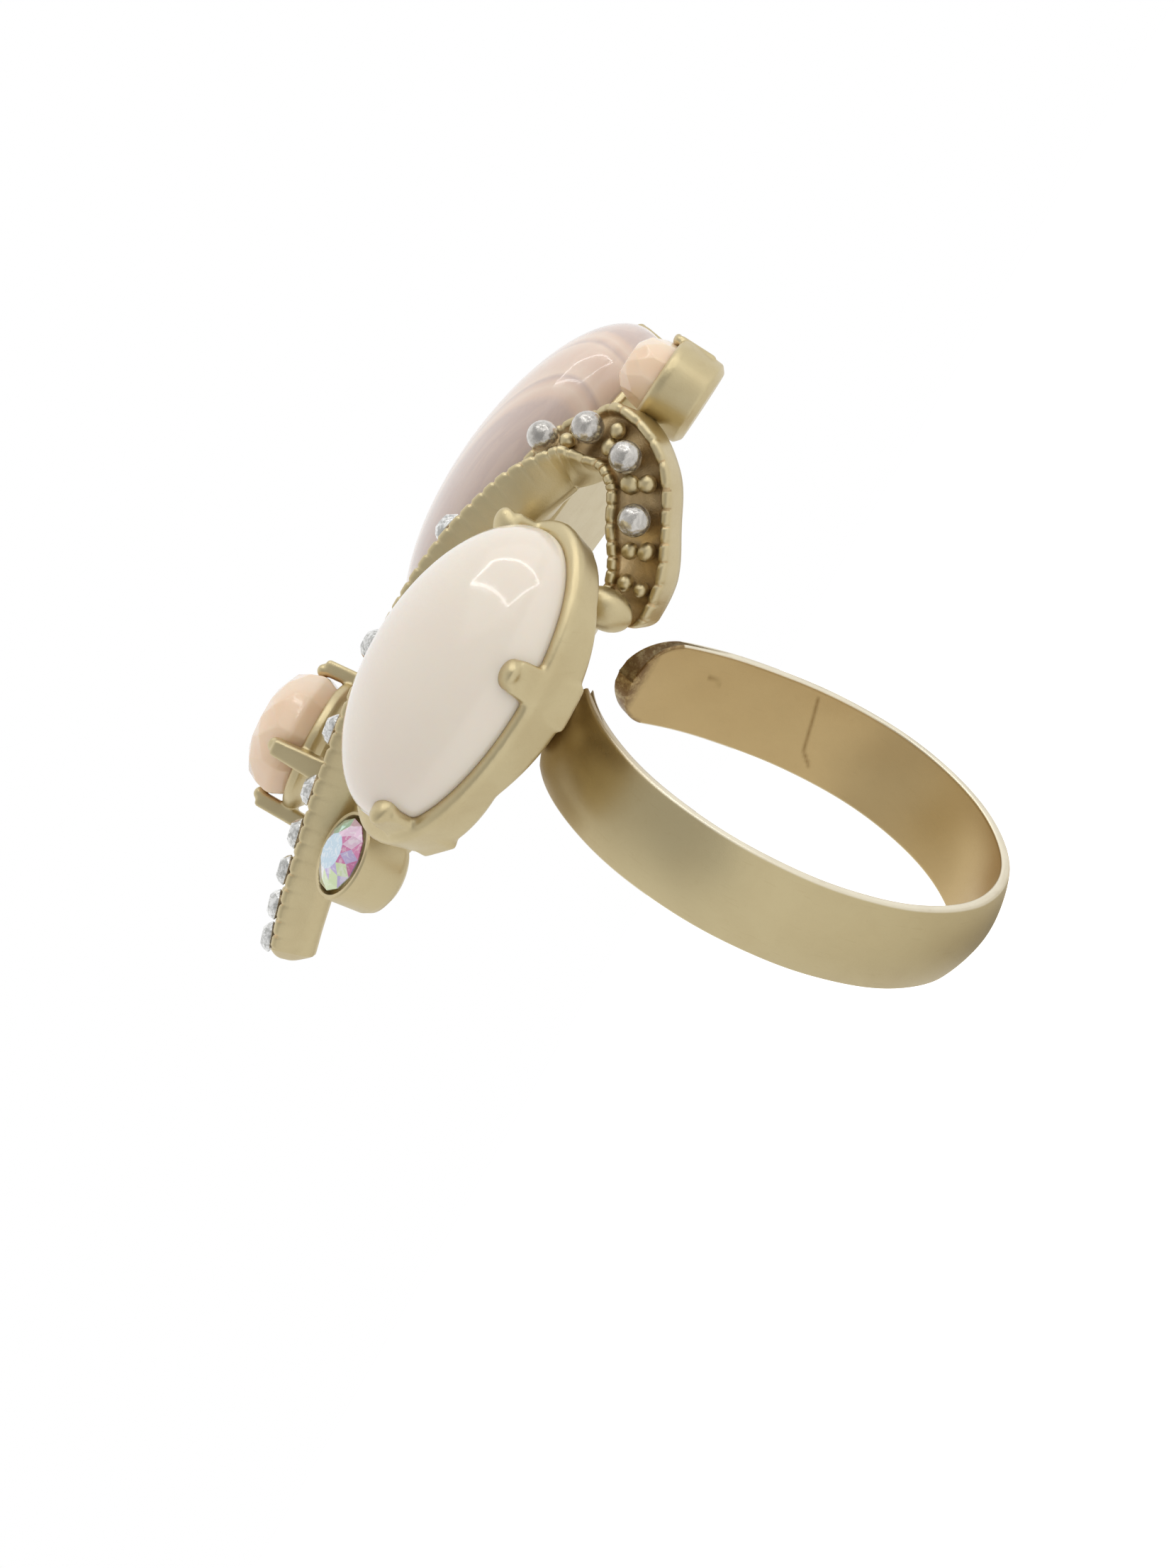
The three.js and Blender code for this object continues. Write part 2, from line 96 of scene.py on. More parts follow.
# ---- properties ----
class RingSizes(bpy.types.PropertyGroup):
    """Sizes of the ring, in millimetres and degrees"""

    finger_radius: bpy.props.FloatProperty(
        name="Finger radius", description="Mean inner radius of the band", default=8.9)
    ovality: bpy.props.FloatProperty(
        name="Ovality", description="Share by which the band is sprung into an oval", default=0.094)
    oval_turn: bpy.props.FloatProperty(
        name="Oval turn", description="Angle of the oval's long axis from the head", default=23.4)
    egg: bpy.props.FloatProperty(
        name="Egg", description="Share by which the band is fuller at the head", default=0.0127)
    band_width: bpy.props.FloatProperty(
        name="Band width", description="Width of the band along the finger", default=4.3)
    band_edge: bpy.props.FloatProperty(
        name="Band edge", description="Thickness of the band at its rims", default=0.4)
    band_dome: bpy.props.FloatProperty(
        name="Band dome", description="Extra thickness along the band's middle", default=0.5)
    soldered_end: bpy.props.FloatProperty(
        name="Soldered end", description="Angle where the band meets the head", default=20.0)
    free_end: bpy.props.FloatProperty(
        name="Free end", description="Angle of the band's open tip", default=335.0)
    free_end_round: bpy.props.FloatProperty(
        name="Free end round", description="Length of the band's rounded tip", default=1.9)
    channel_wall: bpy.props.FloatProperty(
        name="Channel wall", description="Thickness of the scroll's walls", default=0.45)
    channel_trough: bpy.props.FloatProperty(
        name="Channel trough", description="Depth of the scroll's trough", default=0.55)
    milgrain_pitch: bpy.props.FloatProperty(
        name="Milgrain pitch", description="Length of one bead of the scroll's rims", default=0.72)
    pearl_radius: bpy.props.FloatProperty(
        name="Pearl radius", description="Radius of a pearl bead", default=0.7)
    rhinestone_radius: bpy.props.FloatProperty(
        name="Rhinestone radius", description="Radius of a small clear stone", default=0.72)
    cup_radius: bpy.props.FloatProperty(
        name="Cup radius", description="Outer radius of the crystal's cup", default=1.98)
    cup_depth: bpy.props.FloatProperty(
        name="Cup depth", description="Depth of the crystal's cup", default=2.4)


def colour(name, description, default):
    return bpy.props.FloatVectorProperty(
        name=name, description=description, subtype="COLOR", size=4, min=0, max=1, default=default)


class RingColours(bpy.types.PropertyGroup):
    """Colours of the ring's finishes"""

    gold: colour("Gold", "Pale champagne gold plate", (0.65, 0.55, 0.33, 1))
    gold_dark: colour("Dark gold", "Gold where it is dull or in a recess", (0.46, 0.34, 0.17, 1))
    recess: colour("Recess", "Oxidised floor of the scroll's trough", (0.74, 0.56, 0.31, 1))
    band: colour("Band", "Gold of the band's outside", (0.63, 0.53, 0.31, 1))
    lining: colour("Lining", "Browner gold of the band's inside", (0.61, 0.45, 0.22, 1))
    # A painted highlight: this brighter gold lights up the band's side walls.
    edge: colour("Edge", "Bright burnished rims of the band", (0.9, 0.83, 0.66, 1))
    white: colour("White", "Creamy white cabochon", (0.90, 0.81, 0.69, 1))
    white_cloud: colour("White cloud", "Pinkish cloud in the white stone", (0.88, 0.76, 0.66, 1))
    agate: colour("Agate", "Pinkish beige ground of the agate", (0.80, 0.62, 0.51, 1))
    agate_grey: colour("Agate grey", "Mauve grey bands of the agate", (0.66, 0.53, 0.475, 1))
    agate_cream: colour("Agate cream", "Cream bands of the agate", (0.86, 0.70, 0.58, 1))
    peach: colour("Peach", "Faceted peach stones", (0.95, 0.68, 0.47, 1))
    peach_pale: colour("Pale peach", "Paler cloud in the peach stones", (0.98, 0.85, 0.70, 1))
    pearl: colour("Pearl", "Silvery grey pearl beads", (0.42, 0.40, 0.37, 1))


def sizes():
    return bpy.context.scene.ring_sizes


def colours():
    return bpy.context.scene.ring_colours


# ---- working on meshes as by hand ----
def deselect():
    bpy.ops.object.select_all(action="DESELECT")


def only(obj):
    """Makes one object the selected and active one."""
    deselect()
    obj.select_set(True)
    bpy.context.view_layer.objects.active = obj
    return obj


def in_edit(obj, *steps):
    """Runs edit mode steps on the whole of one mesh."""
    only(obj)
    bpy.ops.object.mode_set(mode="EDIT")
    bpy.ops.mesh.select_all(action="SELECT")
    for step in steps:
        step()
    bpy.ops.object.mode_set(mode="OBJECT")
    return obj


def apply_modifier(obj, kind, **settings):
    only(obj)
    modifier = obj.modifiers.new(kind.lower(), kind)
    for key, value in settings.items():
        setattr(modifier, key, value)
    bpy.ops.object.modifier_apply(modifier=modifier.name)
    return obj


def close_seams(obj, distance=1e-4):
    return in_edit(
        obj,
        lambda: bpy.ops.mesh.remove_doubles(threshold=distance),
        lambda: bpy.ops.mesh.normals_make_consistent(inside=False),
    )


def smooth(obj, angle=None):
    only(obj)
    if angle is None:
        bpy.ops.object.shade_smooth()
    else:
        bpy.ops.object.shade_smooth_by_angle(angle=math.radians(angle))
    return obj


def join(name, parts):
    deselect()
    for part in parts:
        part.select_set(True)
    bpy.context.view_layer.objects.active = parts[0]
    if len(parts) > 1:
        bpy.ops.object.join()
    joined = bpy.context.view_layer.objects.active
    joined.name = name
    return joined


def cast(name, parts, voxel=0.09, rounds=6):
    """Melts parts into one casting with soft inner corners."""
    obj = join(name, parts)
    apply_modifier(obj, "REMESH", mode="VOXEL", voxel_size=voxel)
    apply_modifier(obj, "SMOOTH", factor=0.5, iterations=rounds)
    return smooth(obj)


def set_down(obj, seat=None):
    """Puts a piece that was made in millimetres in its place, with its object at the origin."""
    obj.matrix_world = Matrix.Scale(MM, 4) @ (seat or Matrix())
    only(obj)
    bpy.ops.object.transform_apply(location=True, rotation=True, scale=True)
    return obj


def finish(obj, material, replaced=(), body=FIXED_BODY):
    if material is not None:
        obj.data.materials.clear()
        obj.data.materials.append(material)
    if replaced:
        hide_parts(*replaced)
    if body:
        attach(obj, body)
    return obj


def seat_matrix(centre, normal, along):
    """A seat whose Z is the stone's normal and whose X is its long axis."""
    up = Vector(normal).normalized()
    side = (Vector(along) - up * up.dot(Vector(along))).normalized()
    turn = Matrix((side, up.cross(side), up)).transposed()
    return Matrix.Translation(centre) @ turn.to_4x4()


# ---- shapes ----
def strip(name, length_steps, around_steps, place):
    """A grid whose every point is put down by place(along, around), both from 0 to 1."""
    deselect()
    bpy.ops.mesh.primitive_grid_add(
        x_subdivisions=length_steps, y_subdivisions=around_steps, size=1)
    obj = bpy.context.active_object
    obj.name = name
    for vertex in obj.data.vertices:
        vertex.co = place(vertex.co.x + 0.5, vertex.co.y + 0.5)
    return obj


def turned(name, profile, half_length, half_width, steps=128):
    """A profile of (radius, height) spun about Z and stretched to an oval."""
    deselect()
    bpy.ops.mesh.primitive_circle_add(vertices=len(profile), fill_type="NOTHING")
    obj = bpy.context.active_object
    obj.name = name
    for vertex, (radius, height) in zip(obj.data.vertices, profile):
        vertex.co = (radius, 0, height)
    in_edit(
        obj,
        lambda: bpy.ops.mesh.spin(
            steps=steps, angle=2 * math.pi, center=(0, 0, 0), axis=(0, 0, 1)),
        lambda: bpy.ops.mesh.select_all(action="SELECT"),
        lambda: bpy.ops.transform.resize(value=(half_length, half_width, 1)),
    )
    return close_seams(obj, 1e-3)


def ball(name, radius, segments=32, rings=16):
    deselect()
    bpy.ops.mesh.primitive_uv_sphere_add(segments=segments, ring_count=rings, radius=radius)
    obj = bpy.context.active_object
    obj.name = name
    return obj


def cabochon(name, half_length, half_width, dome, base):
    """A domed oval with a rounded girdle and a flat back."""
    obj = ball(name, 1, 128, 64)
    foot = 0.9
    for vertex in obj.data.vertices:
        x, y, z = vertex.co
        reach = math.hypot(x, y)
        if z >= 0:
            spread, height = 1.0, z * dome
        elif -z < foot:
            spread = (1 - 0.1 * (z / foot) ** 2) / max(reach, 1e-6)
            height = z / foot * base
        else:
            spread, height = 0.9 / math.sqrt(1 - foot ** 2), -base
        vertex.co = (x * spread * half_length, y * spread * half_width, height)
    return smooth(close_seams(obj))


def faceted(name, levels, half_length, half_width, sides, bevel):
    """A cut stone: rings of corners at each (size, height, turn), skinned and barely rounded."""
    deselect()
    rings = []
    for size, height, turn in levels:
        bpy.ops.mesh.primitive_circle_add(
            vertices=sides, radius=max(size, 1e-3), fill_type="NOTHING", location=(0, 0, height),
            rotation=(0, 0, 2 * math.pi * turn / sides))
        bpy.ops.object.transform_apply(location=True, rotation=True, scale=True)
        rings.append(bpy.context.active_object)
        deselect()
    obj = join(name, rings)
    in_edit(
        obj,
        lambda: bpy.ops.transform.resize(value=(half_length, half_width, 1)),
        lambda: bpy.ops.mesh.remove_doubles(threshold=5e-3),
        lambda: bpy.ops.mesh.convex_hull(),
        lambda: bpy.ops.mesh.dissolve_limited(angle_limit=math.radians(2)),
    )
    if bevel:
        apply_modifier(obj, "BEVEL", width=bevel, segments=3, limit_method="ANGLE",
                       angle_limit=math.radians(6))
        return smooth(obj, 25)
    return obj


def claw(half_length, half_width, angle, width, height, drop, reach, thick, tip, lean):
    """A claw: a post outside the girdle that narrows upwards, and a nub folded over the edge."""
    out = Vector((math.cos(angle) / half_length, math.sin(angle) / half_width, 0)).normalized()
    edge = Vector((half_length * math.cos(angle), half_width * math.sin(angle), 0))
    turn = Matrix.Rotation(math.atan2(out.y, out.x), 4, "Z")
    deselect()
    bpy.ops.mesh.primitive_cube_add(size=1)
    post = bpy.context.active_object
    length = drop + height * 0.8
    for vertex in post.data.vertices:
        x, y, z = vertex.co
        spread, shift = (0.75, -0.1) if z > 0 else (1.1, -lean)
        vertex.co = (x * thick + thick / 2 + shift, y * width * spread, z * length)
    in_edit(post, lambda: bpy.ops.mesh.bevel(offset=0.16, segments=3, affect="EDGES"))
    post.matrix_world = Matrix.Translation(
        edge + Vector((0, 0, height * 0.8 - length / 2))) @ turn
    nub = ball("nub", 1, 20, 12)
    nub.matrix_world = (
        Matrix.Translation(edge + out * (0.22 - reach / 2) + Vector((0, 0, height * 0.72)))
        @ turn
        @ Matrix.Rotation(math.radians(-24), 4, "Y")
        @ Matrix.Diagonal((reach, width * 0.36, tip, 1)))
    for part in (post, nub):
        only(part)
        bpy.ops.object.transform_apply(location=True, rotation=True, scale=True)
    return [post, nub]


def cup_profile(half_width, base, height, wall, taper, lip):
    rim = 1 + wall / half_width
    soft = 0.25 * wall / half_width
    floor = -base - 0.04
    return [
        (0, floor),
        (0.98, floor),
        (0.98, lip - 0.12),
        (0.98 + soft, lip),
        (rim - 2 * soft, lip - 0.03),
        (rim - 0.5 * soft, lip - 0.15),
        (rim, lip - 0.4),
        (rim * taper, -height + 0.25),
        (rim * taper - 0.3 / half_width, -height),
        (0, -height),
    ]


# ---- the scroll's path ----
def spline_point(points, t):
    """A centripetal curve through the points, t from 0 to 1 with the same share for each span."""
    last = len(points) - 1
    span = min(int(t * last), last - 1)
    share = t * last - span
    one, two = points[span], points[span + 1]
    before = points[span - 1] if span else one * 2 - two
    after = points[span + 2] if span + 2 <= last else two * 2 - one
    gap0, gap1, gap2 = (
        max((b - a).length ** 0.5, 1e-4)
        for a, b in ((before, one), (one, two), (two, after)))
    slope1 = ((one - before) / gap0 - (two - before) / (gap0 + gap1) + (two - one) / gap1) * gap1
    slope2 = ((two - one) / gap1 - (after - one) / (gap1 + gap2) + (after - two) / gap2) * gap1
    return (
        one
        + slope1 * share
        + (two * 3 - one * 3 - slope1 * 2 - slope2) * share ** 2
        + (one * 2 - two * 2 + slope1 + slope2) * share ** 3)


SCROLL_POINTS = [Vector(place) for place, _, _, _ in SCROLL]


def scroll_frame(t):
    """Place, sideways, facing, ahead, width and depth of the scroll at t."""
    t = min(max(t, 0.0), 1.0)
    last = len(SCROLL) - 1
    span = min(int(t * last), last - 1)
    share = t * last - span
    _, face1, width1, depth1 = SCROLL[span]
    _, face2, width2, depth2 = SCROLL[span + 1]
    place = spline_point(SCROLL_POINTS, t)
    step = 1e-4
    ahead = (
        spline_point(SCROLL_POINTS, min(t + step, 1)) - spline_point(SCROLL_POINTS, max(t - step, 0))
    ).normalized()
    face = Vector(face1).lerp(Vector(face2), share * share * (3 - 2 * share))
    face = (face - ahead * face.dot(ahead)).normalized()
    side = ahead.cross(face).normalized()
    width = width1 + (width2 - width1) * share
    depth = depth1 + (depth2 - depth1) * share
    return place, side, face, ahead, width, depth


def even_steps(count):
    """Values of t that are evenly spaced along the scroll, and its length."""
    fine = 1200
    places = [spline_point(SCROLL_POINTS, i / fine) for i in range(fine + 1)]
    lengths = [0.0]
    for a, b in zip(places, places[1:]):
        lengths.append(lengths[-1] + (b - a).length)
    total = lengths[-1]
    steps = []
    at = 0
    for i in range(count + 1):
        goal = total * i / count
        while at < fine - 1 and lengths[at + 1] < goal:
            at += 1
        within = (goal - lengths[at]) / max(lengths[at + 1] - lengths[at], 1e-9)
        steps.append((at + min(within, 1)) / fine)
    return steps, total


# ---- shared node groups ----
def sockets(group, direction, *wanted):
    for name, kind, default in wanted:
        socket = group.interface.new_socket(name=name, in_out=direction, socket_type=kind)
        if default is not None:
            socket.default_value = default


def node(tree, kind, **settings):
    made = tree.nodes.new(kind)
    for key, value in settings.items():
        setattr(made, key, value)
    return made


def link(tree, source, target):
    tree.links.new(source, target)


def millimetres(tree, stretch=(1, 1, 1), turn=(0, 0, 0)):
    """Object coordinates in millimetres, stretched or turned."""
    coordinates = node(tree, "ShaderNodeTexCoord")
    mapping = node(tree, "ShaderNodeMapping")
    mapping.inputs["Scale"].default_value = [1 / MM * s for s in stretch]
    mapping.inputs["Rotation"].default_value = turn
    link(tree, coordinates.outputs["Object"], mapping.inputs["Vector"])
    return mapping.outputs["Vector"]


def noise(tree, where, scale, detail=3.0, rough=0.55, twist=0.0):
    made = node(tree, "ShaderNodeTexNoise")
    made.inputs["Scale"].default_value = scale
    made.inputs["Detail"].default_value = detail
    made.inputs["Roughness"].default_value = rough
    made.inputs["Distortion"].default_value = twist
    link(tree, where, made.inputs["Vector"])
    return made.outputs["Fac"]


def stretch_range(tree, value, low, high, to_low=0.0, to_high=1.0):
    made = node(tree, "ShaderNodeMapRange", clamp=True)
    link(tree, value, made.inputs["Value"])
    for name, number in (
        ("From Min", low), ("From Max", high), ("To Min", to_low), ("To Max", to_high)):
        made.inputs[name].default_value = number
    return made.outputs["Result"]


def mixed(tree, share, first, second):
    """A colour mix; each input is a socket or a plain colour."""
    made = node(tree, "ShaderNodeMix", data_type="RGBA")
    for value, name in ((share, 0), (first, 6), (second, 7)):
        target = made.inputs[name]
        if hasattr(value, "node"):
            link(tree, value, target)
        else:
            target.default_value = value
    return made.outputs[2]


def sums(tree, operation, first, second):
    made = node(tree, "ShaderNodeMath", operation=operation)
    for value, name in ((first, 0), (second, 1)):
        if hasattr(value, "node"):
            link(tree, value, made.inputs[name])
        else:
            made.inputs[name].default_value = value
    return made.outputs[0]


def metal_wear_group():
    """Satin plate: dull patches, fine grain and faint scratches."""
    found = bpy.data.node_groups.get("metal_wear")
    if found:
        return found
    group = bpy.data.node_groups.new("metal_wear", "ShaderNodeTree")
    sockets(
        group, "INPUT",
        ("Colour", "NodeSocketColor", (0.6, 0.5, 0.36, 1)),
        ("Dull Colour", "NodeSocketColor", (0.3, 0.22, 0.12, 1)),
        ("Patches", "NodeSocketFloat", 0.3),
        ("Scratches", "NodeSocketFloat", 0.3),
        ("Grain", "NodeSocketFloat", 0.3))
    sockets(
        group, "OUTPUT",
        ("Colour", "NodeSocketColor", None),
        ("Roughness", "NodeSocketFloat", None),
        ("Height", "NodeSocketFloat", None))
    given = node(group, "NodeGroupInput")
    result = node(group, "NodeGroupOutput")
    where = millimetres(group)
    patches = stretch_range(group, noise(group, where, 0.45, 5, 0.6, 0.6), 0.42, 0.72)
    spots = stretch_range(group, noise(group, where, 3.2, 4, 0.65), 0.62, 0.78)
    grain = noise(group, where, 14.0, 3, 0.7)
    lines = millimetres(group, (0.35, 3.0, 0.35), (0.5, 0.3, 0.4))
    scratches = stretch_range(group, noise(group, lines, 2.6, 2, 0.5, 0.2), 0.66, 0.7)
    dull = sums(group, "MULTIPLY", patches, given.outputs["Patches"])
    dull = sums(group, "ADD", dull, sums(group, "MULTIPLY", spots, 0.12))
    tone = mixed(group, dull, given.outputs["Colour"], given.outputs["Dull Colour"])
    scored = sums(group, "MULTIPLY", scratches, given.outputs["Scratches"])
    tone = mixed(group, sums(group, "MULTIPLY", scored, 0.5), tone, given.outputs["Dull Colour"])
    link(group, tone, result.inputs["Colour"])
    rough = sums(group, "ADD", stretch_range(group, grain, 0.3, 0.7, 0.3, 0.42),
                 sums(group, "MULTIPLY", dull, 0.18))
    link(group, rough, result.inputs["Roughness"])
    height = sums(group, "MULTIPLY", grain, given.outputs["Grain"])
    height = sums(group, "SUBTRACT", height, sums(group, "MULTIPLY", scored, 0.1))
    link(group, height, result.inputs["Height"])
    return group


def stone_cloud_group():
    """Soft clouds of two colours inside a moulded stone."""
    found = bpy.data.node_groups.get("stone_cloud")
    if found:
        return found
    group = bpy.data.node_groups.new("stone_cloud", "ShaderNodeTree")
    sockets(
        group, "INPUT",
        ("Colour", "NodeSocketColor", (0.8, 0.7, 0.6, 1)),
        ("Cloud Colour", "NodeSocketColor", (0.7, 0.6, 0.5, 1)),
        ("Amount", "NodeSocketFloat", 0.5))
    sockets(
        group, "OUTPUT",
        ("Colour", "NodeSocketColor", None),
        ("Roughness", "NodeSocketFloat", None),
        ("Height", "NodeSocketFloat", None))
    given = node(group, "NodeGroupInput")
    result = node(group, "NodeGroupOutput")
    where = millimetres(group)
    cloud = stretch_range(group, noise(group, where, 0.16, 4, 0.5, 1.0), 0.35, 0.65)
    specks = stretch_range(group, noise(group, where, 9, 2, 0.6), 0.7, 0.8)
    share = sums(group, "MULTIPLY", cloud, given.outputs["Amount"])
    tone = mixed(group, share, given.outputs["Colour"], given.outputs["Cloud Colour"])
    tone = mixed(group, sums(group, "MULTIPLY", specks, 0.06), tone, (1, 0.97, 0.94, 1))
    link(group, tone, result.inputs["Colour"])
    link(group, stretch_range(group, noise(group, where, 4, 3), 0.3, 0.7, 0.1, 0.16),
         result.inputs["Roughness"])
    link(group, noise(group, where, 2.2, 2), result.inputs["Height"])
    return group


# ---- materials ----
def new_material(name):
    material = bpy.data.materials.new(name)
    material.use_nodes = True
    tree = material.node_tree
    return material, tree, tree.nodes["Principled BSDF"]


def bumped(tree, shader, height, distance, strength=1.0):
    bump = node(tree, "ShaderNodeBump")
    bump.inputs["Distance"].default_value = distance * MM
    bump.inputs["Strength"].default_value = strength
    link(tree, height, bump.inputs["Height"])
    link(tree, bump.outputs["Normal"], shader.inputs["Normal"])


def placed_group(tree, group, **values):
    made = node(tree, "ShaderNodeGroup", node_tree=group)
    for key, value in values.items():
        made.inputs[key.replace("_", " ")].default_value = value
    return made


def gold_material(name, tone, dull, patches=0.2, scratches=0.15, grain=0.3, band_wear_and_painted_light=False):
    found = bpy.data.materials.get(name)
    if found:
        return found
    material, tree, shader = new_material(name)
    wear = placed_group(
        tree, metal_wear_group(), Colour=tone, Dull_Colour=dull, Patches=patches,
        Scratches=scratches, Grain=grain)
    base = wear.outputs["Colour"]
    # Only the band: its worn cut end, lining, scratches, a painted shade by the head and a painted
    # highlight on its rims.
    if band_wear_and_painted_light:
        mask = node(tree, "ShaderNodeAttribute", attribute_name="cut_end")
        ragged = sums(
            tree, "MULTIPLY", mask.outputs["Fac"],
            stretch_range(tree, noise(tree, millimetres(tree), 3.2, 4, 0.7), 0.3, 0.55, 0.25, 1))
        lining = node(tree, "ShaderNodeAttribute", attribute_name="lining")
        toned = mixed(tree, lining.outputs["Fac"], tone, colours().lining)
        # Painted highlight: the band's side walls are brightened to the edge colour.
        edge = node(tree, "ShaderNodeAttribute", attribute_name="edge")
        toned = mixed(tree, edge.outputs["Fac"], toned, colours().edge)
        link(tree, toned, wear.inputs["Colour"])
        # The scratches, and a painted shade by the head, darken the band towards this brown.
        scratches_and_shade = node(tree, "ShaderNodeAttribute", attribute_name="scratches_and_shade")
        base = mixed(tree, scratches_and_shade.outputs["Fac"], base, (0.3, 0.19, 0.075, 1))
        base = mixed(tree, ragged, base, (0.24, 0.15, 0.07, 1))
    link(tree, base, shader.inputs["Base Color"])
    link(tree, wear.outputs["Roughness"], shader.inputs["Roughness"])
    shader.inputs["Metallic"].default_value = 1
    bumped(tree, shader, wear.outputs["Height"], 0.02)
    return material


def satin_gold():
    c = colours()
    return gold_material("plated_gold", c.gold, c.gold_dark)


def band_gold():
    c = colours()
    return gold_material("band_gold", c.band, c.gold_dark, 0.12, 0.2, 0.2, band_wear_and_painted_light=True)


def recess_gold():
    c = colours()
    return gold_material("recess_gold", c.recess, (0.28, 0.2, 0.11, 1), 0.8, 0.2, 1.0)


def moulded_stone(name, tone, cloud, amount, glow, coat=0.6):
    found = bpy.data.materials.get(name)
    if found:
        return found
    material, tree, shader = new_material(name)
    clouds = placed_group(
        tree, stone_cloud_group(), Colour=tone, Cloud_Colour=cloud, Amount=amount)
    link(tree, clouds.outputs["Colour"], shader.inputs["Base Color"])
    link(tree, clouds.outputs["Roughness"], shader.inputs["Roughness"])
    shader.inputs["Subsurface Weight"].default_value = glow
    shader.inputs["Subsurface Radius"].default_value = (0.9 * MM, 0.6 * MM, 0.4 * MM)
    shader.inputs["Subsurface Scale"].default_value = 1
    shader.inputs["IOR"].default_value = 1.5
    shader.inputs["Coat Weight"].default_value = coat
    shader.inputs["Coat Roughness"].default_value = 0.04
    bumped(tree, shader, clouds.outputs["Height"], 0.02, 0.5)
    return material


def white_resin():
    c = colours()
    return moulded_stone("cream_stone", c.white, c.white_cloud, 0.5, 0.3)


def peach_resin():
    c = colours()
    return moulded_stone("peach_stone", c.peach, c.peach_pale, 0.7, 0.35, 0.4)


def banded_agate():
    c = colours()
    material, tree, shader = new_material("banded_agate")
    where = millimetres(tree, (1, 0.16, 1.2), (0.05, 0.2, 0.12))
    swirl = node(tree, "ShaderNodeTexWave", wave_type="BANDS", bands_direction="X")
    swirl.inputs["Scale"].default_value = 0.06
    swirl.inputs["Distortion"].default_value = 4.5
    swirl.inputs["Detail"].default_value = 3
    swirl.inputs["Detail Scale"].default_value = 0.6
    swirl.inputs["Detail Roughness"].default_value = 0.55
    link(tree, where, swirl.inputs["Vector"])
    bands = node(tree, "ShaderNodeValToRGB")
    ramp = bands.color_ramp
    ramp.elements[0].position = 0.0
    ramp.elements[0].color = c.agate_grey
    ramp.elements[1].position = 1.0
    ramp.elements[1].color = c.agate
    for place, tone in (
        (0.22, c.agate_grey), (0.34, c.agate), (0.5, c.agate_cream), (0.6, c.agate),
        (0.72, c.agate_grey), (0.8, c.agate_cream)):
        ramp.elements.new(place).color = tone
    link(tree, swirl.outputs["Fac"], bands.inputs["Fac"])
    veins = stretch_range(tree, noise(tree, where, 0.9, 5, 0.6, 1.2), 0.45, 0.6)
    tone = mixed(tree, sums(tree, "MULTIPLY", veins, 0.25), bands.outputs["Color"], c.agate_cream)
    link(tree, tone, shader.inputs["Base Color"])
    link(tree, stretch_range(tree, noise(tree, where, 3, 3), 0.3, 0.7, 0.1, 0.18),
         shader.inputs["Roughness"])
    shader.inputs["Subsurface Weight"].default_value = 0.15
    shader.inputs["Subsurface Radius"].default_value = (0.8 * MM, 0.5 * MM, 0.4 * MM)
    shader.inputs["Subsurface Scale"].default_value = 1
    shader.inputs["Coat Weight"].default_value = 0.6
    shader.inputs["Coat Roughness"].default_value = 0.04
    bumped(tree, shader, noise(tree, where, 1.4, 3), 0.03, 0.5)
    return material


def grey_pearl():
    c = colours()
    material, tree, shader = new_material("grey_pearl")
    where = millimetres(tree)
    blotches = stretch_range(tree, noise(tree, where, 1.8, 4, 0.6, 0.8), 0.35, 0.7)
    tone = mixed(tree, blotches, c.pearl, (0.78, 0.75, 0.70, 1))
    link(tree, tone, shader.inputs["Base Color"])
    link(tree, stretch_range(tree, noise(tree, where, 6, 2), 0.3, 0.7, 0.14, 0.3),
         shader.inputs["Roughness"])
    shader.inputs["Metallic"].default_value = 0.85
    shader.inputs["Coat Weight"].default_value = 0.7
    shader.inputs["Coat Roughness"].default_value = 0.1
    bumped(tree, shader, noise(tree, where, 3, 3), 0.03)
    return material


def clear_crystal():
    """Foil-backed clear stone: mirror-bright facets with pale grey patches."""
    material, tree, shader = new_material("clear_crystal")
    where = millimetres(tree)
    patches = stretch_range(tree, noise(tree, where, 3.4, 3, 0.6, 1.2), 0.42, 0.58)
    tone = mixed(tree, patches, (0.93, 0.93, 0.91, 1), (0.5, 0.5, 0.48, 1))
    link(tree, tone, shader.inputs["Base Color"])
    link(tree, stretch_range(tree, patches, 0, 1, 0.04, 0.16), shader.inputs["Roughness"])
    shader.inputs["Metallic"].default_value = 0.7
    shader.inputs["IOR"].default_value = 1.6
    shader.inputs["Coat Weight"].default_value = 0.8
    shader.inputs["Coat Roughness"].default_value = 0.03
    return material


def iridescent_crystal():
    """Facets that turn from mint and ice blue to lilac and pink across the stone."""
    material, tree, shader = new_material("iridescent_crystal")
    tint = node(tree, "ShaderNodeAttribute", attribute_name="facet_tint")
    where = millimetres(tree)
    sparkle = stretch_range(tree, noise(tree, where, 2.6, 3, 0.6, 1.5), 0.5, 0.62)
    tone = mixed(tree, sums(tree, "MULTIPLY", sparkle, 0.45), tint.outputs["Color"], (1, 1, 1, 1))
    link(tree, tone, shader.inputs["Base Color"])
    link(tree, stretch_range(tree, sparkle, 0, 1, 0.03, 0.12), shader.inputs["Roughness"])
    shader.inputs["Metallic"].default_value = 0.35
    shader.inputs["IOR"].default_value = 1.6
    shader.inputs["Coat Weight"].default_value = 1
    shader.inputs["Coat Roughness"].default_value = 0.02
    return material


# ---- operators: one for each piece or group of like pieces ----
class RingPiece:
    bl_options = {"REGISTER", "UNDO"}

    def execute(self, context):
        self.make(context)
        return {"FINISHED"}


